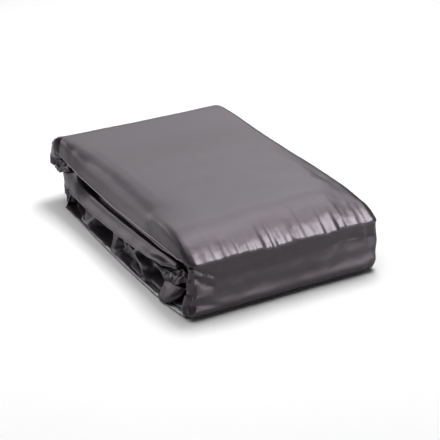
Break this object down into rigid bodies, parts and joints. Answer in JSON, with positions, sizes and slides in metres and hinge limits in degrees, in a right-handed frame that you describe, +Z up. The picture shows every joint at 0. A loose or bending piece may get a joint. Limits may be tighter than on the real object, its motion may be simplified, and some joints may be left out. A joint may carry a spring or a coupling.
{
  "type": "infrared sauna blanket",
  "caption": "Padded infrared sauna blanket folded for storage: in half along its length, then in thirds, with the head third closing over the rest.",
  "frame": {"origin": "centre of the bounding box's bottom face, on the surface that the blanket lies on", "axes": "+X right, towards the width fold; +Y back, along the folded length; +Z up"},
  "size_m": [0.424, 0.64, 0.1523],
  "materials": {
    "shell": "coated cloth with a soft gloss",
    "binding": "coated cloth tape",
    "felt": "needled",
    "heater_film": "carbon-fibre weave between films",
    "liner": "wipe-clean coated cloth",
    "hook_and_loop": "woven pile tape",
    "lead": "matt",
    "inlet_plastic": "moulded",
    "contact_metal": "plain",
    "sensor_resin": "cast"
  },
  "bodies": {
    "lower": {"foot_zone_inlet": "inlet_plastic", "foot_zone_inlet_pins": "contact_metal", "foot_zone_sensor": "sensor_resin", "foot_zone_thermal_cutout": "inlet_plastic", "head_zone_inlet": "inlet_plastic", "head_zone_inlet_pins": "contact_metal", "lower_foot_panel": "shell", "lower_hook_tape": "hook_and_loop", "lower_inner_heater": "heater_film", "lower_inner_insulation": "felt", "lower_inner_liner": "liner", "lower_inner_shell": "shell", "lower_inner_wall_binding": "binding", "lower_lead": "lead", "lower_loop_tape": "hook_and_loop", "lower_outer_heater": "heater_film", "lower_outer_insulation": "felt", "lower_outer_liner": "liner", "lower_outer_shell": "shell", "lower_outer_wall_binding": "binding", "lower_side_gusset": "shell"},
    "front": {"front_hook_tape": "hook_and_loop", "front_inner_heater": "heater_film", "front_inner_insulation": "felt", "front_inner_liner": "liner", "front_inner_shell": "shell", "front_inner_wall_binding": "binding", "front_lead": "lead", "front_loop_tape": "hook_and_loop", "front_outer_heater": "heater_film", "front_outer_insulation": "felt", "front_outer_liner": "liner", "front_outer_shell": "shell", "front_outer_wall_binding": "binding", "front_side_gusset": "shell"},
    "top": {"head_inner_binding": "binding", "head_outer_binding": "binding", "head_zone_sensor": "sensor_resin", "head_zone_thermal_cutout": "inlet_plastic", "top_hook_tape": "hook_and_loop", "top_inner_heater": "heater_film", "top_inner_insulation": "felt", "top_inner_liner": "liner", "top_inner_shell": "shell", "top_inner_wall_binding": "binding", "top_lead": "lead", "top_loop_tape": "hook_and_loop", "top_outer_heater": "heater_film", "top_outer_insulation": "felt", "top_outer_liner": "liner", "top_outer_shell": "shell", "top_outer_wall_binding": "binding", "top_side_gusset": "shell"}
  },
  "joints": [
    {"name": "front_fold", "type": "hinge", "parent": "lower", "child": "front", "pos_m": [0, -0.32, 0], "axis": [1, 0, 0], "range_deg": [0, 90]},
    {"name": "top_fold", "type": "hinge", "parent": "front", "child": "top", "pos_m": [0, -0.30446, 0.13676], "axis": [1, 0, 0], "range_deg": [0, 90]}
  ]
}
